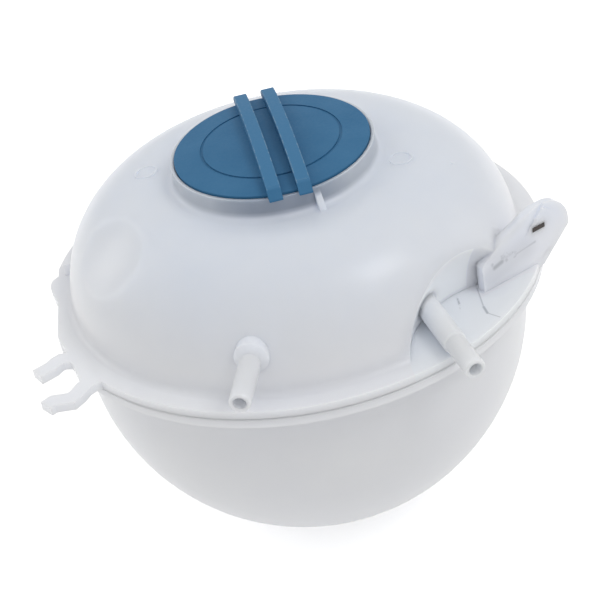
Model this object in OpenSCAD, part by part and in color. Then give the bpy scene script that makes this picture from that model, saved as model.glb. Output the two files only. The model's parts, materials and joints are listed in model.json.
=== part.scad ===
// Coolant expansion tank: a two-half welded plastic bottle with a twist-off pressure cap.
// Lengths are millimetres. The tank stands on its flat foot at z = 0, neck up.
// Most parts are drawn from the weld plane between the two halves and then raised.

/* [Bottle] */
// Height of the weld plane above the flat foot
weld_z = 110; // [104:1:112]
// Outer radius of the lower bowl
bowl_r = 91.6; // [90.6:0.2:93]
// Depth of the bowl centre below the weld plane
bowl_drop = 20.6;
// Outer radius of the upper dome's upright wall
dome_r = 91; // [90:0.5:93]
// Radius of the dome's rounded shoulder
shoulder_r = 42; // [40:0.5:43]
// Height of the shoulder arc's centre above the weld plane
shoulder_z = 5;
// Wall thickness of both halves
wall = 2.8; // [2:0.1:3]

/* [Weld flange] */
// Outer radius of the flange round the middle
flange_r = 100.4; // [99:0.2:102]
// Thickness of each half of the flange
flange_t = 3.6; // [3:0.1:4]
// Radius where a wall runs into the flange
root_fillet = 3; // [1:0.5:4]
// Depth of the bevels that make the groove along the weld
weld_bevel = 0.5; // [0.2:0.1:1]

/* [Neck and collar] */
// Inner radius of the guard collar round the cap
collar_in_r = 39; // [38.8:0.1:40]
// Thickness of the guard collar
collar_t = 1.2; // [1:0.1:2]
// Height of the collar rim above the dome's top
collar_rise = 8.5;
// Radius at the foot of the collar
collar_fillet = 3.5; // [2:0.5:5]
// Depth of the trench inside the collar, below the dome's top
trench_depth = 8;
// Bore radius of the filler neck
neck_bore_r = 21.3;
// Outer radius of the filler neck
neck_out_r = 24.8; // [24:0.1:25.4]
// Height of the neck lip above the dome's top
neck_rise = 3.5;
// Depth of the neck's lower end below the dome's top
neck_depth = 18; // [13:1:23]

/* [Front recess and dimple] */
// Radius of the ball that shapes the front recess
recess_r = 44; // [42:0.5:45]
// Plan position of the recess ball's centre
recess_x = 78;
recess_y = -88;
// Radius of the ball that shapes the left dimple
dimple_r = 60;
// Position of the dimple ball's centre
dimple_x = -102.1;
dimple_y = -40.8;
dimple_z = 80.5;

/* [Hose nipples and outlet] */
// Outer radius of the two small hose nipples
nipple_r = 4; // [3.8:0.1:4.4]
// Bore radius of the nipples
nipple_bore_r = 2.5; // [1.5:0.1:2.8]
// Bevel at every hose end
tip_bevel = 0.8; // [0.4:0.1:1]
// Direction and height of the front nipple
front_nipple_az = -104.2;
front_nipple_z = 20;
// Distance of the front nipple's tip from the tank axis
front_nipple_tip = 115.8; // [110:0.5:120]
// Radius of the round boss at the root of the front nipple
front_boss_r = 6.5; // [5.5:0.5:8]
// Distance from the dome's wall to the end of that boss, and the length of its cone
front_boss_out = 1.5; // [1.5:0.5:4]
front_boss_cone = 2.5; // [1:0.5:3]
// Direction and height of the recess nipple
side_nipple_az = -77.3;
side_nipple_z = 9;
// Plan position where the recess nipple leaves the wall
side_nipple_x = 45.1;
side_nipple_y = -60.2;
// Length of the recess nipple outside the wall
side_nipple_len = 46; // [40:1:50]
// How much thicker the recess nipple is where it crosses the flange
side_root_extra = 0.5; // [0.2:0.1:1]
// Outer radius of the bottom outlet
outlet_r = 10; // [9:0.5:10.5]
// Bore radius of the bottom outlet
outlet_bore_r = 7.5; // [6:0.5:8]
// Height of the outlet axis above the foot
outlet_z = 22;
// Distance of the outlet's end from the tank axis
outlet_tip = 88; // [84:1:94]
// Distance from the tank axis where the outlet's thicker root ends
outlet_root = 75; // [74:1:77]
// How much thicker that root is
outlet_root_extra = 1.5; // [0.5:0.5:2]

/* [Fixing lug] */
// Distance past the flange's edge where the lug's middle plane crosses it, and the direction of that point
lug_out = 0.52; // [0:0.1:1]
lug_pos_az = -21.02;
// Plan direction along the lug's face, outwards
lug_az = 28;
// Thickness of the lug
lug_t = 4; // [3.8:0.1:5]
// Radius of the lug's round end
lug_end_r = 11.6;
// Position of the round end's centre along the face and above the weld plane
lug_end_a = 2.2;
lug_end_z = 16.2;
// Length of the lug towards the tank
lug_back = 30; // [26:1:32]
// Slope of the lug's lower outer edge
lug_slope = 42.6; // [38:0.2:46]
// Radius of the round pad on the lug's front, and how much lower the face is outside it
lug_pad_r = 11.7; // [10:0.1:12]
lug_pad_rise = 0.8; // [0.4:0.1:1.2]
// Distance of the pad's centre from the round end's centre, towards the tank
lug_pad_back = 6.2;
// Slant of the sunk corner at the lug's upper inner end
lug_corner_slant = 8.5; // [4:0.5:10]
// Width, height and depth of the key
key_w = 6; // [4:0.1:6.4]
key_h = 1.9; // [1.4:0.1:2.4]
key_depth = 3; // [2:0.1:3.4]

/* [Cap] */
// Gap between the cap's rim and the guard collar
cap_rim_gap = 0.4; // [0.3:0.1:0.8]
// Radius of the cap's slightly domed top
cap_dome_r = 288; // [260:1:320]
// Height of the cap's centre above the collar rim
cap_rise = 3.4;
// Thickness of the cap's top
cap_t = 2.2; // [1.8:0.1:2.4]
// Width of each grip bar
bar_w = 5.2; // [4:0.1:6]
// Distance between the two bars' centre lines
bar_pitch = 11.4; // [10:0.1:13]
// Height of the bars at their middle and at their shoulders, above the cap's centre
bar_mid_rise = 5.1;
bar_end_rise = 1.1;
// Distance from the cap axis to a bar's shoulder
bar_shoulder = 38.5;
// Distance from the cap axis to a bar's tip
bar_reach = 43;
// Turn of the bars away from the tank's front
bar_turn = 4.6;
// Middle radius of the groove round the cap's top
cap_ring_r = 27.5; // [26:0.1:29]
// Width and depth of that groove
cap_ring_w = 1.1; // [0.6:0.1:1.6]
cap_ring_depth = 0.5; // [0.3:0.1:0.8]
// Inner radius of the threaded skirt
thread_in_r = 27.3; // [27.1:0.1:27.6]
// Thickness of the threaded skirt
thread_t = 2.5; // [2:0.1:3]
// Outer radius of the outer skirt
skirt_r = 37.4; // [36:0.1:38]
// Thickness of the outer skirt
skirt_t = 1.8; // [1.4:0.1:2.2]
// Number of ribs between the skirts
cap_ribs = 12; // [6:1:18]

/* [Valve] */
// Running gap between the cap's hub and the valve housing
hub_gap = 0.05; // [0.02:0.01:0.09]
// Inner radius of the housing's upper ring
hub_seat_r = 21;
// Outer radius of the housing tube
tube_r = 19.6;
// Inner radius of the housing tube
tube_bore_r = 17.2;
// Length of the housing below the neck lip
tube_len = 24.5;
// Radius of the relief port
port_r = 8; // [7.5:0.1:8.3]
// Outer radius of the relief valve's plate
plate_r = 13; // [12.6:0.1:13.4]
// Outer radius of the relief seal
relief_seal_r = 12.5; // [11:0.1:12.5]
// Gap between a seal ring and the neck bore
seal_gap = 0.3; // [0.3:0.05:0.5]
// Section radius of the two neck seals
seal_section_r = 1.3;
// Wire radius and coil radius of the relief spring
relief_wire_r = 0.9; // [0.6:0.05:1]
relief_coil_r = 10.5; // [9.5:0.1:11.5]
// Wire radius and coil radius of the vacuum spring
vacuum_wire_r = 0.4; // [0.3:0.05:0.45]
vacuum_coil_r = 3.4; // [3.2:0.1:3.6]
// Outer radius of the clip on the vacuum valve's stem
clip_r = 4.2; // [4:0.1:4.6]
// Radius of the vacuum valve's stem
stem_r = 2.2; // [1.9:0.1:2.3]
// Running gap round the vacuum valve's stem
stem_gap = 0.06; // [0.03:0.01:0.09]

/* [Hidden] */
$fn = 96;
far = 300;
top_z = shoulder_z + shoulder_r;
flat_r = dome_r - shoulder_r;
collar_out_r = collar_in_r + collar_t;
collar_top_z = top_z + collar_rise;
trench_z = top_z - trench_depth;
neck_lip_z = top_z + neck_rise;
neck_low_z = top_z - neck_depth;
cap_r = collar_in_r - cap_rim_gap;
cap_top_z = collar_top_z + cap_rise;
cap_center_z = cap_top_z - cap_dome_r;
bar_mid_z = cap_top_z + bar_mid_rise;
bar_end_z = cap_top_z + bar_end_rise;
tube_low_z = neck_lip_z - tube_len;
groove_r = neck_bore_r - seal_gap - 2 * seal_section_r;
seal_ring_r = neck_bore_r - seal_gap - seal_section_r;
seat_z = tube_low_z + 2.5;
seal_t = 1.5;
plate_t = 2;
plate_z = seat_z + seal_t;
spring_z = plate_z + plate_t;
housing_flange_t = 2;
housing_top_z = neck_lip_z + housing_flange_t;
housing_ring_top = housing_top_z + 2.9;
snap_z = housing_top_z + 0.65;
snap_h = 0.8;
retainer_t = 2;
retainer_z = housing_top_z - 2.5 - retainer_t;
seal_low_z = neck_lip_z - 17.5;
seal_high_z = neck_lip_z - 3.9;
skirt_low_z = top_z - 6.5;
outer_skirt_low_z = top_z - 3;
disc_r = 6.6;
disc_t = 1.5;
vacuum_seal_t = 1.2;
clip_z = spring_z + 6.5;
clip_t = 1.5;
front_boss_end = dome_r + front_boss_out;
side_root_len = 28;
lug_x = (flange_r + lug_out) * cos(lug_pos_az);
lug_y = (flange_r + lug_out) * sin(lug_pos_az);
key_a = lug_end_a - 3.8;
key_z = lug_end_z + 3;
key_set_in = 0.3;
limb_x = flange_r - 3;
stop_az = 167;
stop_w = 5;
fork_az = -149.5;
finger_w = 6.4;
front_finger = [[6.5, -4], [-0.7, -9.3], [-3.2, -13.2], [-5.4, -15.5], [-12.4, -15], [-15.2, -17.1]];
rear_finger = [[0.5, 9], [-7.3, 11.1], [-9.5, 11.1], [-11.2, 10], [-13.3, 7.5], [-18.9, 4.2]];
fork_web = [[6.5, 9], [-6.2, 8.2], [-4.6, 5], [-3.4, -0.3], [-2, -6.3], [-2.6, -10.5], [-4.8, -13.2], [6.5, -9]];
tab_outline = [[8, -0.2], [2.9, -0.2], [1.3, 4.8], [-0.1, 11], [-0.2, 14], [0.4, 16.6], [2.2, 18.8], [4, 19.6], [8, 19.6]];
rib_azimuths = [-80.6, -60.5];
rib_t = 2;
rib_depth = 27;
rib_top_z = 30;
duct_sides = [-35.5, -12];
duct_depth = 23;
duct_top_z = 35;

// Raises a part drawn from the weld plane to its height above the foot.
module raised() {
  translate([0, 0, weld_z]) children();
}

// A ring with a rectangular section: inner and outer radius, lower and upper height.
module band(r_in, r_out, z_low, z_high) {
  rotate_extrude() translate([r_in, z_low]) square([r_out - r_in, z_high - z_low]);
}

// Sideways direction of the line between two plan points.
function side_of(p, q) = [p[1] - q[1], q[0] - p[0]] / norm(q - p);

// Corner of a strip's edge at point i of its centre line, mitred where the line bends.
function strip_corner(points, i, half) =
  let (last = len(points) - 1,
       before = side_of(points[max(i - 1, 0)], points[max(i, 1)]),
       after = side_of(points[min(i, last - 1)], points[min(i + 1, last)]),
       middle = (before + after) / norm(before + after))
  points[i] + middle * half / (middle * before);

// A flat strip of one width along a list of plan points, cut square at both ends.
module path(points, w) {
  last = len(points) - 1;
  polygon(concat([for (i = [0:last]) strip_corner(points, i, w / 2)],
                 [for (i = [last:-1:0]) strip_corner(points, i, -w / 2)]));
}

// A horizontal hose stub: direction, height, start and length, with a bevelled end.
module stub(az, x, y, z, len, r) {
  translate([x, y, z]) rotate([0, 0, az]) rotate([0, 90, 0]) {
    cylinder(h = len - tip_bevel, r = r);
    translate([0, 0, len - tip_bevel]) cylinder(h = tip_bevel, r1 = r, r2 = r - tip_bevel / 2);
  }
}

// The thicker root of such a stub, which ends in a cone down to the stub's radius.
module root(az, x, y, z, len, r_root, r, cone) {
  translate([x, y, z]) rotate([0, 0, az]) rotate([0, 90, 0]) {
    cylinder(h = len - cone, r = r_root);
    translate([0, 0, len - cone]) cylinder(h = cone, r1 = r_root, r2 = r);
  }
}

// The bore of such a stub, long enough to pass out of both ends.
module stub_bore(az, x, y, z, len, r) {
  translate([x, y, z]) rotate([0, 0, az]) rotate([0, 90, 0]) cylinder(h = len + 2, r = r);
}

// Half section of the dome, set inwards by t.
module dome_section(t) {
  intersection() {
    union() {
      translate([flat_r, shoulder_z]) circle(shoulder_r - t);
      square([flat_r, top_z - t]);
      square([dome_r - t, shoulder_z]);
    }
    square([dome_r - t, top_z - t]);
  }
}

// Quarter round that fills the inner corner between a wall and a face above it.
module corner_fill(r, z, f) {
  difference() {
    translate([r - 1, z - 1]) square([f + 1, f + 1]);
    translate([r + f, z + f]) circle(f);
  }
}

// One half of the flange from height z up, straight on the left side and bevelled along the weld.
module flange_half(z) {
  difference() {
    translate([0, 0, z]) cylinder(h = flange_t, r = flange_r);
    translate([-limb_x - far, -far / 2, -far / 2]) cube(far);
    rotate_extrude() translate([flange_r, 0]) rotate(45) square(weld_bevel * sqrt(2), center = true);
  }
}

// The front recess and the left dimple, grown by t for the inside of the wall.
module recesses(t) {
  intersection() {
    translate([recess_x, recess_y, 0]) sphere(r = recess_r + t);
    translate([-far / 2, -far / 2, t > 0 ? -far / 2 : flange_t]) cube(far);
  }
  translate([dimple_x, dimple_y, dimple_z]) sphere(r = dimple_r + t);
}

// Outer body of the upper half before the recesses: dome, flange and flange root.
module upper_body() {
  rotate_extrude() {
    dome_section(0);
    corner_fill(dome_r, flange_t, root_fillet);
  }
  flange_half(0);
}

// The space inside the upper half.
module upper_cavity() {
  difference() {
    rotate_extrude() {
      dome_section(wall);
      translate([0, -2]) square([dome_r - wall, 3]);
    }
    recesses(wall);
  }
}

// Plan outline of the fork's two fingers with the web between them, and of the rear tab.
module flange_ears() {
  translate([flange_r * cos(fork_az), flange_r * sin(fork_az)]) {
    path(front_finger, finger_w);
    path(rear_finger, finger_w);
    polygon(fork_web);
  }
  translate([-flange_r, 0]) polygon(tab_outline);
}

// Guard collar, trench, neck and the small gusset, as one turned part.
module neck_group() {
  rotate_extrude() {
    translate([collar_in_r, top_z - wall]) square([collar_t, collar_top_z - top_z + wall]);
    corner_fill(collar_out_r, top_z, collar_fillet);
    translate([neck_bore_r, trench_z - wall]) square([collar_in_r + wall - neck_bore_r, wall]);
    translate([collar_in_r, trench_z - wall]) square([wall, top_z - trench_z + wall / 2]);
    translate([neck_bore_r, neck_low_z]) square([neck_out_r - neck_bore_r, neck_lip_z - neck_low_z]);
  }
  rotate([0, 0, -71]) rotate([90, 0, 0]) linear_extrude(2.5, center = true)
    polygon([[collar_out_r - 0.8, top_z - 1], [collar_out_r + 4.5, top_z - 1], [collar_out_r + 3.3, top_z + 1],
             [collar_out_r, collar_top_z - 1], [collar_out_r - 0.8, collar_top_z - 1]]);
}

// Face outline of the fixing lug: round end, sloping lower edge, and a top that falls towards the tank.
module lug_face() {
  low = flange_t - 2.6;
  top = lug_end_z + lug_end_r;
  difference() {
    union() {
      translate([lug_end_a, lug_end_z]) circle(lug_end_r);
      translate([lug_end_a, 0]) polygon([[0, low], [0, top], [-5, top], [-11, top - 2], [-22, top - 6.3],
                                         [-lug_back - 2, top - 13], [-lug_back - 2, low]]);
      translate([0, low]) square([lug_end_a + lug_end_r, lug_end_z - low]);
    }
    translate([3, flange_t]) rotate(lug_slope) translate([-far / 2, -far]) square([far, far]);
  }
}

// Places a part drawn on the lug's face: first axis outwards, second up, depth away from the front.
module on_lug(depth) {
  translate([lug_x, lug_y, 0]) rotate([0, 0, lug_az]) translate([0, depth, 0]) rotate([90, 0, 0]) children();
}

// The lug: a plate, lower outside its round pad, with a sunk corner at the upper inner end.
module lug_body() {
  on_lug(lug_t / 2) difference() {
    linear_extrude(lug_t) lug_face();
    translate([lug_end_a, lug_end_z, lug_t - lug_pad_rise]) linear_extrude(lug_t) difference() {
      translate([-4, -far / 2]) square(far);
      translate([-lug_pad_back, 0]) circle(lug_pad_r);
    }
    translate([lug_end_a - 11.2, lug_end_z, lug_t]) rotate([0, lug_corner_slant, 0]) linear_extrude(lug_t)
      polygon([[0, 1.6], [14.2, 13.6], [14.2, far], [0, far]]);
  }
}

// The key in its slot, set a little into the pad.
module key_block() {
  on_lug(key_depth + key_set_in - lug_t / 2) translate([key_a - key_w / 2, key_z - key_h / 2, 0])
    cube([key_w, key_h, key_depth]);
}

// A raised moulding mark on the shoulder: direction, angle down the shoulder arc, height.
module mould_mark(az, tilt, rise) {
  rotate([0, 0, az]) translate([flat_r, 0, shoulder_z]) rotate([0, tilt, 0])
    band(4, 4.8, shoulder_r - 1, shoulder_r + rise);
}

// Stiffening ribs and the front nipple's duct walls on the inside, clipped to the wall they stand on.
module inner_ribs() {
  intersection() {
    union() {
      for (az = rib_azimuths) rotate([0, 0, az]) translate([dome_r - rib_depth, -rib_t / 2, 1])
        cube([rib_depth, rib_t, rib_top_z - 1]);
      for (x = duct_sides) translate([x - rib_t / 2, -dome_r, 1]) cube([rib_t, duct_depth, duct_top_z - 1]);
    }
    difference() {
      rotate_extrude() dome_section(wall / 2);
      recesses(wall / 2);
    }
  }
}

module upper_shell() {
  color("whitesmoke") raised() difference() {
    union() {
      difference() {
        union() {
          difference() {
            upper_body();
            recesses(0);
          }
          lug_body();
          linear_extrude(flange_t) flange_ears();
          rotate([0, 0, stop_az]) translate([dome_r - 0.4, -stop_w / 2, flange_t - 1]) cube([5.8, stop_w, 6.4]);
          root(front_nipple_az, 70 * cos(front_nipple_az), 70 * sin(front_nipple_az), front_nipple_z,
               front_boss_end - 70, front_boss_r, nipple_r, front_boss_cone);
          root(side_nipple_az, side_nipple_x - 6 * cos(side_nipple_az), side_nipple_y - 6 * sin(side_nipple_az),
               side_nipple_z, side_root_len + 6, nipple_r + side_root_extra, nipple_r, side_root_extra);
          stub(front_nipple_az, 70 * cos(front_nipple_az), 70 * sin(front_nipple_az), front_nipple_z,
               front_nipple_tip - 70, nipple_r);
          stub(side_nipple_az, side_nipple_x - 6 * cos(side_nipple_az), side_nipple_y - 6 * sin(side_nipple_az),
               side_nipple_z, side_nipple_len + 6, nipple_r);
          mould_mark(-17, 1, 0.35);
          mould_mark(164.6, 5.7, 0.3);
          rotate([0, 0, -14.5]) translate([flat_r, 0, shoulder_z]) rotate([0, 28.3, 0])
            translate([0, 0, shoulder_r - 1]) cylinder(h = 1.35, r = 0.8);
        }
        upper_cavity();
      }
      neck_group();
      inner_ribs();
    }
    band(neck_out_r, collar_in_r, trench_z, top_z + 20);
    translate([0, 0, neck_low_z - 5]) cylinder(h = far / 10, r = neck_bore_r);
    stub_bore(front_nipple_az, 60 * cos(front_nipple_az), 60 * sin(front_nipple_az), front_nipple_z,
              front_nipple_tip - 60, nipple_bore_r);
    stub_bore(side_nipple_az, side_nipple_x - 14 * cos(side_nipple_az), side_nipple_y - 14 * sin(side_nipple_az),
              side_nipple_z, side_nipple_len + 14, nipple_bore_r);
    key_block();
  }
}

// Half section of the bowl, set inwards by t and cut flat at the foot.
module bowl_section(t) {
  intersection() {
    union() {
      translate([0, -bowl_drop]) circle(bowl_r - t);
      translate([0, -bowl_drop]) square([bowl_r - t, bowl_drop + t]);
    }
    translate([0, t - weld_z]) square([bowl_r - t, weld_z]);
  }
}

module lower_shell() {
  color("ghostwhite") raised() difference() {
    union() {
      rotate_extrude() {
        bowl_section(0);
        mirror([0, 1]) corner_fill(bowl_r, flange_t, root_fillet);
      }
      flange_half(-flange_t);
      stub(90, 0, 48, outlet_z - weld_z, outlet_tip - 48, outlet_r);
      root(90, 0, 48, outlet_z - weld_z, outlet_root - 48, outlet_r + outlet_root_extra, outlet_r, outlet_root_extra);
    }
    rotate_extrude() bowl_section(wall);
    stub_bore(90, 0, 40, outlet_z - weld_z, outlet_tip - 40, outlet_bore_r);
  }
}

module lug_key() {
  color("dimgray") raised() key_block();
}

// Side outline of a grip bar: a shallow arch with bevelled ends.
module bar_outline() {
  rise = bar_mid_z - bar_end_z;
  arch_r = (bar_shoulder * bar_shoulder + rise * rise) / (2 * rise);
  intersection() {
    translate([0, bar_mid_z - arch_r]) circle(arch_r);
    polygon([[-bar_reach, collar_top_z + 0.4], [bar_reach, collar_top_z + 0.4], [bar_reach, collar_top_z + 1.2],
             [bar_shoulder, bar_end_z], [bar_shoulder - 8, bar_mid_z + 1], [8 - bar_shoulder, bar_mid_z + 1],
             [-bar_shoulder, bar_end_z], [-bar_reach, collar_top_z + 1.2]]);
  }
}

// The cap's turned section: domed top, two skirts and the snap hub.
module cap_section() {
  difference() {
    union() {
      intersection() {
        difference() {
          translate([0, cap_center_z]) circle(cap_dome_r);
          translate([0, cap_center_z]) circle(cap_dome_r - cap_t);
        }
        translate([0, collar_top_z - 0.6]) square([cap_r, 10]);
      }
      intersection() {
        union() {
          translate([thread_in_r, skirt_low_z]) square([thread_t, cap_top_z - skirt_low_z]);
          translate([skirt_r - skirt_t, outer_skirt_low_z]) square([skirt_t, cap_top_z - outer_skirt_low_z]);
          translate([hub_seat_r - hub_gap - 2, housing_top_z + 0.3]) square([2, cap_top_z - housing_top_z]);
          translate([hub_seat_r - hub_gap - 1, snap_z + 0.1]) square([1.65, snap_h - 0.2]);
        }
        translate([0, cap_center_z]) circle(cap_dome_r - cap_t / 2);
      }
    }
    translate([cap_ring_r - cap_ring_w / 2, cap_top_z - 0.5 * cap_ring_r * cap_ring_r / cap_dome_r - cap_ring_depth])
      square([cap_ring_w, bar_mid_rise]);
  }
}

module cap_shell() {
  color("steelblue") raised() {
    rotate_extrude() cap_section();
    intersection() {
      for (i = [0:cap_ribs - 1]) rotate([0, 0, i * 360 / cap_ribs + 15])
        translate([thread_in_r + thread_t - 0.5, -0.6, outer_skirt_low_z + 2])
          cube([skirt_r - skirt_t - thread_in_r - thread_t + 1, 1.2, cap_top_z - outer_skirt_low_z]);
      translate([0, 0, cap_center_z]) sphere(r = cap_dome_r - cap_t / 2);
    }
    rotate([0, 0, bar_turn]) for (side = [-1, 1]) translate([side * bar_pitch / 2 - bar_w / 2, 0, 0])
      rotate([90, 0, 90]) linear_extrude(bar_w) difference() {
        bar_outline();
        translate([0, cap_center_z]) intersection() {
          circle(cap_dome_r - cap_t / 2);
          translate([-cap_r + 2, 0]) square([2 * cap_r - 4, far * 2]);
        }
      }
  }
}

module valve_housing() {
  color("slategray") raised() difference() {
    rotate_extrude() difference() {
      union() {
        translate([tube_bore_r, tube_low_z]) square([tube_r - tube_bore_r, housing_top_z - tube_low_z]);
        translate([tube_bore_r, neck_lip_z]) square([neck_out_r - tube_bore_r, housing_flange_t]);
        translate([hub_seat_r, neck_lip_z]) square([2, housing_ring_top - neck_lip_z]);
        translate([port_r, tube_low_z]) square([tube_r - port_r, seat_z - tube_low_z]);
      }
      for (z = [seal_low_z, seal_high_z]) translate([groove_r, z - seal_section_r]) square([5, 2 * seal_section_r]);
      translate([hub_seat_r - 1, snap_z]) square([1.75, snap_h]);
      translate([tube_bore_r - 1, retainer_z + retainer_t]) square([1, 5]);
    }
    for (i = [0:3]) rotate([0, 0, 45 + i * 90]) translate([tube_bore_r - 3, -3.5, seal_low_z + 4]) cube([8, 7, 5.5]);
  }
}

// A round seal ring in its groove.
module seal_ring(z) {
  raised() rotate_extrude() translate([seal_ring_r, z]) circle(seal_section_r);
}

module neck_seal_upper() {
  color("black") seal_ring(seal_high_z);
}

module neck_seal_lower() {
  color("black") seal_ring(seal_low_z);
}

module relief_seal() {
  color("black") raised() band(port_r + 0.6, relief_seal_r, seat_z, plate_z);
}

module relief_plate() {
  color("gainsboro") raised() difference() {
    translate([0, 0, plate_z]) cylinder(h = plate_t, r = plate_r);
    translate([0, 0, plate_z - 1]) cylinder(h = plate_t + 2, r = stem_r + stem_gap);
    for (i = [0:2]) rotate([0, 0, i * 120]) translate([2.7, 0, plate_z - 1]) cylinder(h = plate_t + 2, r = 0.7);
  }
}

// Height of a coil's centre line after a share u of its turns, with a closed turn at each end.
function coil_z(u, turns, low, high, wire) =
  let (t = u * turns, pitch = (high - low - 4 * wire) / (turns - 2))
  t < 1 ? low + t * wire * 2 : t > turns - 1 ? high - (turns - t) * wire * 2 : low + 2 * wire + (t - 1) * pitch;

// Corners of the wire's section at every step along the coil.
function coil_points(turns, steps, coil, wire, low, high, sides) =
  [for (i = [0:steps]) for (j = [0:sides - 1])
    let (a = 360 * turns * i / steps, b = 360 * j / sides, r = coil + wire * cos(b))
    [r * cos(a), r * sin(a), coil_z(i / steps, turns, low, high, wire) + wire * sin(b)]];

// Triangles that join one section to the next.
function coil_faces(steps, sides) = concat(
  [[for (j = [0:sides - 1]) j]],
  [for (i = [0:steps - 1]) for (j = [0:sides - 1]) let (k = (j + 1) % sides) [i * sides + j, (i + 1) * sides + k, i * sides + k]],
  [for (i = [0:steps - 1]) for (j = [0:sides - 1]) let (k = (j + 1) % sides) [i * sides + j, (i + 1) * sides + j, (i + 1) * sides + k]],
  [[for (j = [sides - 1:-1:0]) steps * sides + j]]);

// A coil spring between two heights.
module coil_spring(turns, coil, wire, z_low, z_high) {
  steps = turns * 20;
  polyhedron(coil_points(turns, steps, coil, wire, z_low + wire, z_high - wire, 8), coil_faces(steps, 8), 4);
}

module relief_spring() {
  color("silver") raised() coil_spring(6, relief_coil_r, relief_wire_r, spring_z, retainer_z);
}

module spring_retainer() {
  color("gainsboro") raised() difference() {
    translate([0, 0, retainer_z]) cylinder(h = retainer_t, r = tube_bore_r);
    translate([0, 0, retainer_z - 1]) cylinder(h = retainer_t + 2, r = 5);
    for (i = [0:3]) rotate([0, 0, i * 90]) translate([14.4, 0, retainer_z - 1]) cylinder(h = retainer_t + 2, r = 1.5);
  }
}

module vacuum_seal() {
  color("black") raised() band(3.6, disc_r - 0.1, plate_z - vacuum_seal_t, plate_z);
}

module vacuum_valve() {
  color("goldenrod") raised() {
    translate([0, 0, plate_z - vacuum_seal_t - disc_t]) cylinder(h = disc_t, r = disc_r);
    translate([0, 0, plate_z - vacuum_seal_t - disc_t / 2])
      cylinder(h = clip_z + clip_t - plate_z + vacuum_seal_t + disc_t / 2, r = stem_r);
  }
}

module vacuum_clip() {
  color("silver") raised() band(stem_r, clip_r, clip_z, clip_z + clip_t);
}

module vacuum_spring() {
  color("silver") raised() coil_spring(6, vacuum_coil_r, vacuum_wire_r, spring_z, clip_z);
}

upper_shell();
lower_shell();
lug_key();
cap_shell();
valve_housing();
neck_seal_upper();
neck_seal_lower();
relief_plate();
relief_seal();
relief_spring();
spring_retainer();
vacuum_valve();
vacuum_seal();
vacuum_spring();
vacuum_clip();
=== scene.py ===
"""Looks of the coolant expansion tank: camera, light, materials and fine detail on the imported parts."""
import json
import math

import bpy
from mathutils import Matrix, Vector


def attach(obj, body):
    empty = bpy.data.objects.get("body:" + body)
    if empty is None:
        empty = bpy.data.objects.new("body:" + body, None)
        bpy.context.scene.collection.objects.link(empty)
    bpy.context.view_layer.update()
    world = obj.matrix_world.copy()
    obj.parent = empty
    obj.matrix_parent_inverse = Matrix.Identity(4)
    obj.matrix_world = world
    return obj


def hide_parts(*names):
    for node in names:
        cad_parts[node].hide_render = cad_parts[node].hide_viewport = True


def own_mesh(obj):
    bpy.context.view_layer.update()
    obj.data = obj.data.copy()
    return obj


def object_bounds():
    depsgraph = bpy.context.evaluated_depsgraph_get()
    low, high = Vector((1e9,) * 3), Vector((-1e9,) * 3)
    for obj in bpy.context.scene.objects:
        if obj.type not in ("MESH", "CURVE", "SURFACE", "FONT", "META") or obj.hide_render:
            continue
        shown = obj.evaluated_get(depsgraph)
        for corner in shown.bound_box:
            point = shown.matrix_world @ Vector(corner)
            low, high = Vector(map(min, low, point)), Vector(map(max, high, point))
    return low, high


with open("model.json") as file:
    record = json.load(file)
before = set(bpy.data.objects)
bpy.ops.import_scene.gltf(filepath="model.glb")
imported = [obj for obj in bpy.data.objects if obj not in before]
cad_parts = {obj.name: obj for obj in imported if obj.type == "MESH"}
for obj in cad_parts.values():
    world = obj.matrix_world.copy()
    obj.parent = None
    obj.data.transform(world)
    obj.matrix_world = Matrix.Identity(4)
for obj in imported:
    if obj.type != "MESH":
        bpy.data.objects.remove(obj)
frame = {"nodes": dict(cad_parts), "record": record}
NODES = frame["nodes"]
cad_low, cad_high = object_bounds()

scene = bpy.context.scene
scene.view_settings.view_transform = "Standard"

MM = 0.001
WELD_Z = 110.0 * MM


def linked(name, data):
    """A new object in the scene."""
    obj = bpy.data.objects.new(name, data)
    scene.collection.objects.link(obj)
    return obj


def at_weld(x, y, z):
    """A point given in millimetres from the axis and the weld plane."""
    return Vector((x, y, z)) * MM + Vector((0, 0, WELD_Z))


# Camera: fitted to the photo's outline.

CAM_DIST = 700 * MM
CAM_ELEV = math.radians(32.92)
CAM_ROLL = math.radians(11.30)
CAM_AIM = Vector((-1.01 * MM, 0.0, WELD_Z - 18.50 * MM))
CAM_LENS = 103.27
CAM_SENSOR = 36.0
CAM_FAR = 50.0


def add_camera():
    data = bpy.data.cameras.new("photo_view")
    data.lens = CAM_LENS
    data.sensor_width = CAM_SENSOR
    data.clip_end = CAM_FAR
    cam = linked("photo_view", data)
    place = Vector((0.0, -CAM_DIST * math.cos(CAM_ELEV), WELD_Z + CAM_DIST * math.sin(CAM_ELEV)))
    ahead = (CAM_AIM - place).normalized()
    right = ahead.cross(Vector((0, 0, 1))).normalized()
    up = right.cross(ahead)
    tilted_right = right * math.cos(CAM_ROLL) - up * math.sin(CAM_ROLL)
    tilted_up = right * math.sin(CAM_ROLL) + up * math.cos(CAM_ROLL)
    turn = Matrix((tilted_right, tilted_up, -ahead)).transposed()
    cam.matrix_world = Matrix.Translation(place) @ turn.to_4x4()
    scene.camera = cam


add_camera()


# Node tools. Each adds nodes to a tree and gives back the output to link on.

BEVEL_SAMPLES = 6
# Between these two a noise has nearly all its values.
NOISE_SPAN = (0.3, 0.7)


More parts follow.
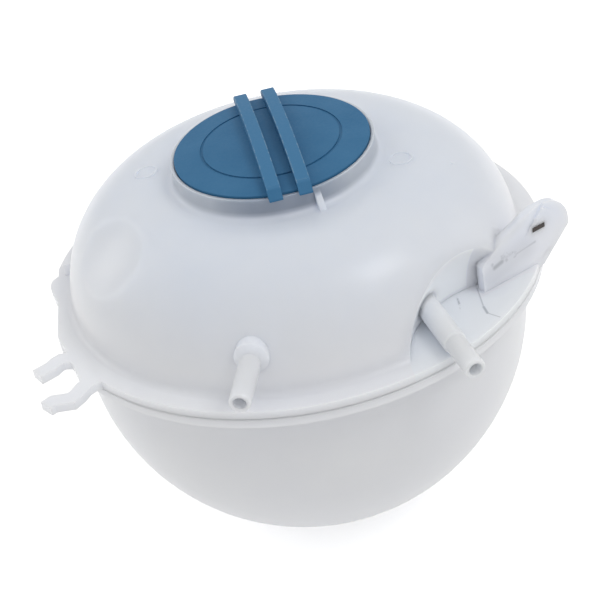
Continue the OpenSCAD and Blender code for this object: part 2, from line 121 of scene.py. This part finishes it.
def new_material(name, color, rough, metallic=0.0, specular=0.5):
    mat = bpy.data.materials.new(name)
    mat.use_nodes = True
    shader = mat.node_tree.nodes["Principled BSDF"]
    shader.inputs["Base Color"].default_value = (*color, 1.0)
    shader.inputs["Roughness"].default_value = rough
    shader.inputs["Metallic"].default_value = metallic
    shader.inputs["Specular IOR Level"].default_value = specular
    return mat, mat.node_tree, shader


def object_coord(tree):
    return tree.nodes.new("ShaderNodeTexCoord").outputs["Object"]


def add_noise(tree, scale, detail=3.0, rough=0.55):
    """A noise texture in the object's own space."""
    noise = tree.nodes.new("ShaderNodeTexNoise")
    noise.inputs["Scale"].default_value = scale
    noise.inputs["Detail"].default_value = detail
    noise.inputs["Roughness"].default_value = rough
    tree.links.new(object_coord(tree), noise.inputs["Vector"])
    return noise.outputs["Fac"]


def remap(tree, value, low, high, out_low=0.0, out_high=1.0):
    node = tree.nodes.new("ShaderNodeMapRange")
    for socket, number in zip(("From Min", "From Max", "To Min", "To Max"), (low, high, out_low, out_high)):
        node.inputs[socket].default_value = number
    tree.links.new(value, node.inputs["Value"])
    return node.outputs["Result"]


def mix_color(tree, factor, color_a, color_b):
    node = tree.nodes.new("ShaderNodeMix")
    node.data_type = "RGBA"
    tree.links.new(factor, node.inputs[0])
    for index, color in ((6, color_a), (7, color_b)):
        if isinstance(color, tuple):
            node.inputs[index].default_value = (*color, 1.0)
        else:
            tree.links.new(color, node.inputs[index])
    return node.outputs[2]


def math_node(tree, operation, first, second, clamp=False):
    node = tree.nodes.new("ShaderNodeMath")
    node.operation = operation
    node.use_clamp = clamp
    for index, value in enumerate((first, second)):
        if isinstance(value, (int, float)):
            node.inputs[index].default_value = value
        else:
            tree.links.new(value, node.inputs[index])
    return node.outputs[0]


def product(tree, first, *others):
    for other in others:
        first = math_node(tree, "MULTIPLY", first, other)
    return first


def outside(tree, mask):
    return math_node(tree, "SUBTRACT", 1.0, mask)


def vector_node(tree, operation, first, second=None):
    node = tree.nodes.new("ShaderNodeVectorMath")
    node.operation = operation
    for index, value in enumerate((first, second)):
        if isinstance(value, Vector):
            node.inputs[index].default_value = value
        elif value is not None:
            tree.links.new(value, node.inputs[index])
    return node.outputs["Value" if operation in ("DOT_PRODUCT", "LENGTH") else "Vector"]


def split_axes(tree, coord):
    split = tree.nodes.new("ShaderNodeSeparateXYZ")
    tree.links.new(coord, split.inputs[0])
    return split.outputs


def above_weld(tree, height, low, high):
    """0 up to one height and 1 from the other, both in millimetres from the weld plane."""
    return remap(tree, height, WELD_Z + low * MM, WELD_Z + high * MM)


def stroke_mask(tree, coord, start, end, half_width, fade):
    """1 within half_width of the line between two points, falling to 0 over fade."""
    line = end - start
    from_start = vector_node(tree, "SUBTRACT", coord, start)
    along = vector_node(tree, "DOT_PRODUCT", from_start, line / line.length_squared)
    share = math_node(tree, "ADD", along, 0.0, clamp=True)
    scaled = tree.nodes.new("ShaderNodeVectorMath")
    scaled.operation = "SCALE"
    scaled.inputs[0].default_value = line
    tree.links.new(share, scaled.inputs["Scale"])
    gap = vector_node(tree, "LENGTH", vector_node(tree, "SUBTRACT", from_start, scaled.outputs["Vector"]))
    return remap(tree, gap, half_width, half_width + fade, 1.0, 0.0)


def ball_shell_mask(tree, coord, centre, near, far, fade):
    """1 between two distances from a centre, falling to 0 over fade on both sides."""
    gap = vector_node(tree, "LENGTH", vector_node(tree, "SUBTRACT", coord, centre))
    return product(tree, remap(tree, gap, near - fade, near), remap(tree, gap, far, far + fade, 1.0, 0.0))


def bevel_node(tree):
    """Its normal runs smoothly round the edges that lie within its radius."""
    node = tree.nodes.new("ShaderNodeBevel")
    node.samples = BEVEL_SAMPLES
    return node


def add_bump(tree, shader, height, strength, distance):
    bump = tree.nodes.new("ShaderNodeBump")
    bump.inputs["Strength"].default_value = strength
    bump.inputs["Distance"].default_value = distance
    tree.links.new(height, bump.inputs["Height"])
    tree.links.new(bump.outputs["Normal"], shader.inputs["Normal"])
    return bump


# The milky plastic of the two shells. Pairs of heights are in millimetres from the weld plane.

SCATTER = 0.004
PLASTIC_IOR = 1.49
PLASTIC_ROUGH = (0.28, 0.34)
# Strength and distance, in metres, of a bump.
PLASTIC_BUMP = (0.20, 0.0012)
CLOUD_SCALE = 22.0
# The bowl is painted paler than the dome, and the dome is paler low down: painted light that lifts them where
# less light falls. The dome's bluer tone is its own.
BOWL_LIFTED_TINTS = ((0.84, 0.855, 0.905), (0.87, 0.885, 0.925))
DOME_TINTS = ((0.735, 0.79, 0.910), (0.775, 0.82, 0.925))
BOWL_TO_DOME = (12, 48)

# The recess is part of a ball. From the flange up it is painted paler, painted light against the shade in the
# recess, and its wall above the shelf glows a little, painted light for what the wall lets through.
RECESS_CENTRE = Vector((78.0, -88.0, 110.0)) * MM
RECESS_REACH = 44.05 * MM
RECESS_EDGE = 0.15 * MM
RECESS_FROM = (-0.2, 0.2)
RECESS_WALL_FROM = (3.7, 5.5)
RECESS_PAINTED_LIGHT = (0.85, 0.88, 0.935)
WALL_PAINTED_GLOW_COLOR = (0.93, 0.96, 1.0)
WALL_PAINTED_GLOW = 0.10

# The hose tube that crosses the recess, and the lug beside it, which take no part in that. The lug lies past
# LUG_START along its plate and behind LUG_FACE towards its front.
RECESS_TUBE = (at_weld(43.8, -54.3, 9.0), at_weld(55.7, -107.0, 9.0))
TUBE_HALF_WIDTH = 5.2 * MM
TUBE_FADE = 0.8 * MM
LUG_ALONG = Vector((0.8829, 0.4695, 0.0))
LUG_FRONT = Vector((0.46947, -0.88295, 0.0))
LUG_START = (32.8 * MM, 33.4 * MM)
LUG_FACE = (80.2 * MM, 79.6 * MM)

# The guard collar is painted darker, most of all at the front: painted shade for the cap's shaded skirt seen
# through it.
COLLAR_REACH = (41.4 * MM, 40.6 * MM)
COLLAR_FROM = (47.0, 50.0)
COLLAR_FRONT_Y = (-30 * MM, -38.5 * MM)
COLLAR_PAINTED_SHADE = ((0.54, 0.585, 0.65), (0.34, 0.385, 0.46))

# The rims of the recess and of the dimple on the left look rounder than the solids' own.
RECESS_RIM = (43 * MM, 54 * MM)
DIMPLE_CENTRE = Vector((-102.1, -40.8, 190.5)) * MM
DIMPLE_RIM = (57 * MM, 68 * MM)
RIM_FADE = 3 * MM
RIM_FROM = (5, 8)
RIM_ROUNDING = 8.0 * MM

# Painted shade at the lug's foot, darker streaks along the lug's lower front and scratches on the recess's
# shelf, in millimetres from the axis
# and the weld plane: start, end, half width, fade, strength, patchy. A fine noise breaks up the patchy ones.
SCRATCH_AND_SHADE_COLOR = (0.10, 0.12, 0.14)
SPECK_SCALE = 420.0
SPECK_SPAN = (0.44, 0.56)
SCRATCHES_AND_SHADE = (
    # painted shade where the lug meets the dome
    ((72.0, -50.5, 9.0), (86.0, -42.9, 13.0), 2.5, 6.0, 0.12, False),
    # darker streaks along the lug's lower front
    ((73.9, -49.3, 12.0), (77.0, -47.6, 12.9), 0.35, 1.5, 0.42, False),
    ((73.2, -49.6, 13.6), (78.7, -46.7, 15.2), 0.30, 1.6, 0.28, True),
    ((79.0, -46.5, 12.6), (81.6, -45.1, 14.2), 0.30, 1.5, 0.30, True),
    ((77.0, -47.6, 14.2), (86.0, -42.8, 14.0), 0.30, 1.4, 0.22, True),
    ((82.6, -44.6, 12.5), (84.2, -43.8, 13.1), 0.35, 1.2, 0.34, True),
    ((83.6, -44.1, 12.9), (91.6, -39.8, 13.8), 0.12, 0.8, 0.26, False),
    # scratches on the shelf
    ((57.9, -52.0, 3.6), (57.9, -60.5, 3.6), 0.10, 0.5, 0.44, True),
    ((66.3, -48.0, 3.6), (66.3, -61.0, 3.6), 0.08, 0.35, 0.34, False),
    ((66.3, -61.0, 3.6), (66.9, -65.4, 3.6), 0.20, 0.5, 0.48, False),
    ((66.9, -65.4, 3.6), (70.8, -69.4, 3.6), 0.06, 0.35, 0.34, False),
)


def painted_light_masks(tree, coord, height):
    """Where light is painted: the recess without the lug, and the recess's wall without its tube."""
    lug = product(tree,
                  remap(tree, vector_node(tree, "DOT_PRODUCT", coord, LUG_ALONG), *LUG_START),
                  remap(tree, vector_node(tree, "DOT_PRODUCT", coord, LUG_FRONT), *LUG_FACE))
    recess = product(tree,
                     ball_shell_mask(tree, coord, RECESS_CENTRE, 0.0, RECESS_REACH, RECESS_EDGE),
                     above_weld(tree, height, *RECESS_FROM),
                     outside(tree, lug))
    tube = stroke_mask(tree, coord, *RECESS_TUBE, TUBE_HALF_WIDTH, TUBE_FADE)
    wall = product(tree, recess, above_weld(tree, height, *RECESS_WALL_FROM), outside(tree, tube))
    return recess, wall


# Painted shade on the collar, darkest at the front.
def shade_collar(tree, coord, axes, clean):
    reach = vector_node(tree, "LENGTH", vector_node(tree, "MULTIPLY", coord, Vector((1, 1, 0))))
    collar = product(tree, remap(tree, reach, *COLLAR_REACH), above_weld(tree, axes["Z"], *COLLAR_FROM))
    shade = mix_color(tree, remap(tree, axes["Y"], *COLLAR_FRONT_Y), *COLLAR_PAINTED_SHADE)
    return mix_color(tree, collar, clean, shade)


# Scratches and darker streaks, and painted shade at the lug's foot.
def scratch_and_shade_mask(tree, coord):
    specks = remap(tree, add_noise(tree, SPECK_SCALE), *SPECK_SPAN)
    scratches_and_shade = None
    for start, end, half_width, fade, strength, patchy in SCRATCHES_AND_SHADE:
        mask = stroke_mask(tree, coord, at_weld(*start), at_weld(*end), half_width * MM, fade * MM)
        mask = product(tree, mask, strength)
        if patchy:
            mask = product(tree, mask, specks)
        scratches_and_shade = mask if scratches_and_shade is None else math_node(tree, "MAXIMUM", scratches_and_shade, mask)
    return scratches_and_shade


def rim_mask(tree, coord, height):
    rims = math_node(tree, "MAXIMUM",
                     ball_shell_mask(tree, coord, RECESS_CENTRE, *RECESS_RIM, RIM_FADE),
                     ball_shell_mask(tree, coord, DIMPLE_CENTRE, *DIMPLE_RIM, RIM_FADE))
    return product(tree, rims, above_weld(tree, height, *RIM_FROM))


def milky_plastic():
    """Lets light scatter through. Painted light makes the bowl, the low dome and the recess paler and the
    recess wall glow faintly; painted shade darkens the collar where the cap's skirt shows through it, and the
    lug's foot.
    """
    mat, tree, shader = new_material("clear_plastic", (0.78, 0.82, 0.91), 0.32)
    shader.inputs["Subsurface Weight"].default_value = 1.0
    shader.inputs["Subsurface Radius"].default_value = (1.0, 1.0, 1.0)
    shader.inputs["Subsurface Scale"].default_value = SCATTER
    shader.inputs["IOR"].default_value = PLASTIC_IOR
    coord = object_coord(tree)
    axes = split_axes(tree, coord)
    height = axes["Z"]

    cloud = add_noise(tree, CLOUD_SCALE)
    drift = remap(tree, cloud, *NOISE_SPAN)
    # painted light: the bowl and the low dome are lifted paler
    bowl = mix_color(tree, drift, *BOWL_LIFTED_TINTS)
    dome = mix_color(tree, drift, *DOME_TINTS)
    color = mix_color(tree, above_weld(tree, height, *BOWL_TO_DOME), bowl, dome)
    recess, wall = painted_light_masks(tree, coord, height)
    # painted light: the recess is painted paler against its shade
    color = mix_color(tree, recess, color, RECESS_PAINTED_LIGHT)
    # painted shade on the collar
    color = shade_collar(tree, coord, axes, color)
    # scratches, streaks, and painted shade at the lug's foot
    color = mix_color(tree, scratch_and_shade_mask(tree, coord), color, SCRATCH_AND_SHADE_COLOR)
    tree.links.new(color, shader.inputs["Base Color"])

    # painted light: the recess wall glows faintly
    shader.inputs["Emission Color"].default_value = (*WALL_PAINTED_GLOW_COLOR, 1.0)
    tree.links.new(product(tree, wall, WALL_PAINTED_GLOW), shader.inputs["Emission Strength"])
    tree.links.new(remap(tree, cloud, *NOISE_SPAN, *PLASTIC_ROUGH), shader.inputs["Roughness"])

    soft = bevel_node(tree)
    rounding = remap(tree, rim_mask(tree, coord, height), 0.0, 1.0, 0.0, RIM_ROUNDING)
    tree.links.new(rounding, soft.inputs["Radius"])
    bump = add_bump(tree, shader, cloud, *PLASTIC_BUMP)
    tree.links.new(soft.outputs["Normal"], bump.inputs["Normal"])
    return mat


# The blue plastic of the cap. The grip bars stand above BARS_FROM and are worn along their edges.

CAP_TINTS = ((0.036, 0.154, 0.306), (0.048, 0.174, 0.332))
BAR_TINT = (0.056, 0.192, 0.362)
BARS_FROM = (59.0, 59.6)
WORN_COLOR = (0.24, 0.36, 0.45)
WORN_WIDTH = 0.8 * MM
# The bevelled normal dotted with the flat one, where wear starts and where it is full.
WORN_DOT = (0.99, 0.94)
WEAR_SCALE = 330.0
WEAR_SPAN = (0.46, 0.60)
WEAR_SHARE = (0.1, 0.8)
CAP_SPECULAR = 0.22
CAP_ROUGH = (0.50, 0.64)
CAP_BUMP = (0.10, 0.0003)
GRAIN_SCALE = 900.0
PATCH_SCALE = 60.0
PATCH_SPAN = (0.35, 0.7)
CAP_NOISE_DETAIL = 4.0


def blue_plastic():
    """Matt blue, with pale wear broken up along the edges of the two grip bars."""
    mat, tree, shader = new_material("blue_plastic", (0.042, 0.160, 0.315), 0.55, specular=CAP_SPECULAR)
    grain = add_noise(tree, GRAIN_SCALE, CAP_NOISE_DETAIL)
    patch = add_noise(tree, PATCH_SCALE, CAP_NOISE_DETAIL)
    color = mix_color(tree, remap(tree, patch, *PATCH_SPAN), *CAP_TINTS)
    bars = above_weld(tree, split_axes(tree, object_coord(tree))["Z"], *BARS_FROM)
    color = mix_color(tree, bars, color, BAR_TINT)

    soft = bevel_node(tree)
    soft.inputs["Radius"].default_value = WORN_WIDTH
    flat = tree.nodes.new("ShaderNodeNewGeometry").outputs["Normal"]
    likeness = vector_node(tree, "DOT_PRODUCT", soft.outputs["Normal"], flat)
    wear = add_noise(tree, WEAR_SCALE, CAP_NOISE_DETAIL)
    worn = product(tree, remap(tree, likeness, *WORN_DOT), bars,
                   remap(tree, wear, *WEAR_SPAN, *WEAR_SHARE))
    tree.links.new(mix_color(tree, worn, color, WORN_COLOR), shader.inputs["Base Color"])
    tree.links.new(remap(tree, grain, *NOISE_SPAN, *CAP_ROUGH), shader.inputs["Roughness"])
    add_bump(tree, shader, grain, *CAP_BUMP)
    return mat


# The inner pieces and the key: slot, both colours, both roughnesses, the noise's scale, metallic.

PLAIN_DETAIL = 4.0
PLAIN_NOISE_ROUGH = 0.6
PLAIN_BUMP = (0.15, 0.0002)
PLAIN_FINISHES = (
    ("grey_plastic", (0.11, 0.12, 0.13), (0.14, 0.15, 0.16), 0.40, 0.55, 400.0, 0.0),
    ("seal_rubber", (0.018, 0.018, 0.018), (0.030, 0.030, 0.030), 0.45, 0.65, 500.0, 0.0),
    ("spring_steel", (0.46, 0.46, 0.48), (0.38, 0.38, 0.40), 0.22, 0.38, 700.0, 1.0),
    ("valve_brass", (0.62, 0.44, 0.18), (0.54, 0.38, 0.15), 0.25, 0.40, 600.0, 1.0),
    # near-black for the lug's key: a steel key and painted shade in its slot
    ("dark_steel", (0.030, 0.028, 0.028), (0.070, 0.052, 0.044), 0.50, 0.70, 500.0, 0.0),
)


def plain_finish(name, color_a, color_b, rough_a, rough_b, scale, metallic):
    """Two colours and two roughnesses that one fine noise mixes."""
    mat, tree, shader = new_material(name, color_a, rough_a, metallic)
    noise = add_noise(tree, scale, PLAIN_DETAIL, PLAIN_NOISE_ROUGH)
    color = mix_color(tree, remap(tree, noise, *NOISE_SPAN), color_a, color_b)
    tree.links.new(color, shader.inputs["Base Color"])
    tree.links.new(remap(tree, noise, *NOISE_SPAN, rough_a, rough_b), shader.inputs["Roughness"])
    add_bump(tree, shader, noise, *PLAIN_BUMP)
    return mat


MATERIALS = {"clear_plastic": milky_plastic(), "blue_plastic": blue_plastic()}
for finish in PLAIN_FINISHES:
    MATERIALS[finish[0]] = plain_finish(*finish)

for row in frame["record"]["subparts"]:
    node = NODES[row["node"]]
    node.data.materials.clear()
    node.data.materials.append(MATERIALS[row["material_slot"]])


# Springs as copies of their own, each carried by a body, in place of the solids' ones, which are hidden.


def working_spring(name, node, body):
    obj = linked(name, NODES[node].data.copy())
    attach(obj, body)
    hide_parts(node)
    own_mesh(obj)


working_spring("relief_coil", "relief_spring", "cap_core")
working_spring("vacuum_coil", "vacuum_spring", "relief")


# The lug's key, near-black in the lug's slot: a steel key, and painted shade for the dark that the slot
# shows. Its solid ends under the lug's face, so a copy has its front brought out just past that face.

KEY_STEP = 0.37 * MM
KEY_FRONT_DEPTH = 0.1 * MM


def key_and_slot_shade():
    obj = linked("key_and_slot_shade", NODES["lug_key"].data.copy())
    front = max(vert.co.dot(LUG_FRONT) for vert in obj.data.vertices)
    for vert in obj.data.vertices:
        if vert.co.dot(LUG_FRONT) > front - KEY_FRONT_DEPTH:
            vert.co += KEY_STEP * LUG_FRONT
    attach(obj, "tank")
    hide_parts("lug_key")


key_and_slot_shade()


# Screw threads, which the solids leave out. Each is a helical ridge of trapezium section.

THREAD_PITCH = 4.0 * MM
THREAD_HEIGHT = 1.9 * MM
THREAD_ROOT_HALF = 1.15 * MM
THREAD_CREST_HALF = 0.45 * MM
THREAD_SINK = 0.3 * MM
THREAD_STEPS_A_TURN = 72
THREAD_FADE_STEPS = 14.0
# Name, its wall's radius, its lowest height, turns, side, body, slot.
THREADS = (
    ("neck_thread", 24.8 * MM, WELD_Z + 41.6 * MM, 1.7, 1, "tank", "clear_plastic"),
    ("cap_thread", 27.3 * MM, WELD_Z + 43.6 * MM, 1.4, -1, "cap", "blue_plastic"),
)


def thread_ridge(name, radius, low, turns, side, body, slot):
    """A ridge that fades at both ends, on its wall's outside (side 1) or inside (side -1)."""
    steps = int(turns * THREAD_STEPS_A_TURN)
    root = radius - side * THREAD_SINK
    verts, faces = [], []
    for i in range(steps + 1):
        angle = 2 * math.pi * turns * i / steps
        z = low + THREAD_PITCH * turns * i / steps
        fade = min(1.0, i / THREAD_FADE_STEPS, (steps - i) / THREAD_FADE_STEPS)
        crest = radius + side * THREAD_HEIGHT * fade
        for r, dz in ((root, -THREAD_ROOT_HALF), (crest, -THREAD_CREST_HALF),
                      (crest, THREAD_CREST_HALF), (root, THREAD_ROOT_HALF)):
            verts.append((r * math.cos(angle), r * math.sin(angle), z + dz))
        if i:
            for k in range(4):
                a, b = (i - 1) * 4 + k, (i - 1) * 4 + (k + 1) % 4
                faces.append((a, b, b + 4, a + 4))
    faces.append((3, 2, 1, 0))
    faces.append(tuple(steps * 4 + k for k in range(4)))
    mesh = bpy.data.meshes.new(name)
    mesh.from_pydata(verts, [], faces)
    mesh.update()
    for poly in mesh.polygons:
        poly.use_smooth = True
    obj = linked(name, mesh)
    mesh.materials.append(MATERIALS[slot])
    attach(obj, body)


for thread in THREADS:
    thread_ridge(*thread)


# Rounded edges on the outer parts.

EDGE_ROUNDING = (("cap_shell", 0.5 * MM), ("upper_shell", 0.4 * MM), ("lower_shell", 0.4 * MM))
EDGE_SEGMENTS = 2
EDGE_ANGLE = math.radians(35)

for edged, width in EDGE_ROUNDING:
    bevel = NODES[edged].modifiers.new("round_edges", "BEVEL")
    bevel.width = width
    bevel.segments = EDGE_SEGMENTS
    bevel.limit_method = "ANGLE"
    bevel.angle_limit = EDGE_ANGLE
    bevel.use_clamp_overlap = True
    bevel.harden_normals = False


# Floor, backdrop and light.

FLOOR_HALF = 6.0
FLOOR_DROP = 0.0002
FLOOR_COLOR = (0.80, 0.80, 0.80)
FLOOR_ROUGH = 0.9
FLOOR_GLOW = 0.60
WORLD_LIGHT = 0.68
# Name, azimuth and elevation in degrees, distance, size, power.
LAMPS = (
    ("key", -33, 53, 1.3, (0.40, 0.40), 2.5),
    ("left", 150, 26, 1.3, (0.5, 0.7), 1.8),
    ("right", 8, 22, 1.3, (0.3, 0.5), 0.5),
    ("top", -90, 82, 1.5, (1.0, 1.0), 0.8),
)


def white_floor():
    """A pale floor that glows only to the camera and in what it sees mirrored or through a part."""
    mesh = bpy.data.meshes.new("floor")
    corners = [(x * FLOOR_HALF, y * FLOOR_HALF, 0) for x, y in ((-1, -1), (1, -1), (1, 1), (-1, 1))]
    mesh.from_pydata(corners, [], [(0, 1, 2, 3)])
    floor = linked("floor", mesh)
    floor.location.z = cad_low[2] - FLOOR_DROP
    mat, tree, shader = new_material("floor", FLOOR_COLOR, FLOOR_ROUGH)
    shader.inputs["Emission Color"].default_value = (1, 1, 1, 1)
    path = tree.nodes.new("ShaderNodeLightPath").outputs
    seen = math_node(tree, "MAXIMUM", path["Is Camera Ray"], path["Is Transmission Ray"])
    seen = math_node(tree, "MAXIMUM", seen, path["Is Glossy Ray"])
    tree.links.new(product(tree, seen, FLOOR_GLOW), shader.inputs["Emission Strength"])
    mesh.materials.append(mat)


def white_world():
    """White to the camera, and softer as light."""
    world = bpy.data.worlds.new("studio")
    scene.world = world
    world.use_nodes = True
    tree = world.node_tree
    back = tree.nodes["Background"]
    back.inputs["Color"].default_value = (1, 1, 1, 1)
    seen = tree.nodes.new("ShaderNodeLightPath").outputs["Is Camera Ray"]
    tree.links.new(remap(tree, seen, 0.0, 1.0, WORLD_LIGHT, 1.0), back.inputs["Strength"])


def soft_lamp(name, azimuth, elevation, distance, size, power):
    data = bpy.data.lights.new(name, "AREA")
    data.shape = "RECTANGLE"
    data.size, data.size_y = size
    data.energy = power
    lamp = linked(name, data)
    az, el = math.radians(azimuth), math.radians(elevation)
    aim = Vector((0, 0, WELD_Z))
    way = Vector((math.cos(el) * math.cos(az), math.cos(el) * math.sin(az), math.sin(el)))
    lamp.location = aim + distance * way
    lamp.rotation_euler = (aim - lamp.location).to_track_quat("-Z", "Y").to_euler()


white_floor()
white_world()
for lamp_row in LAMPS:
    soft_lamp(*lamp_row)
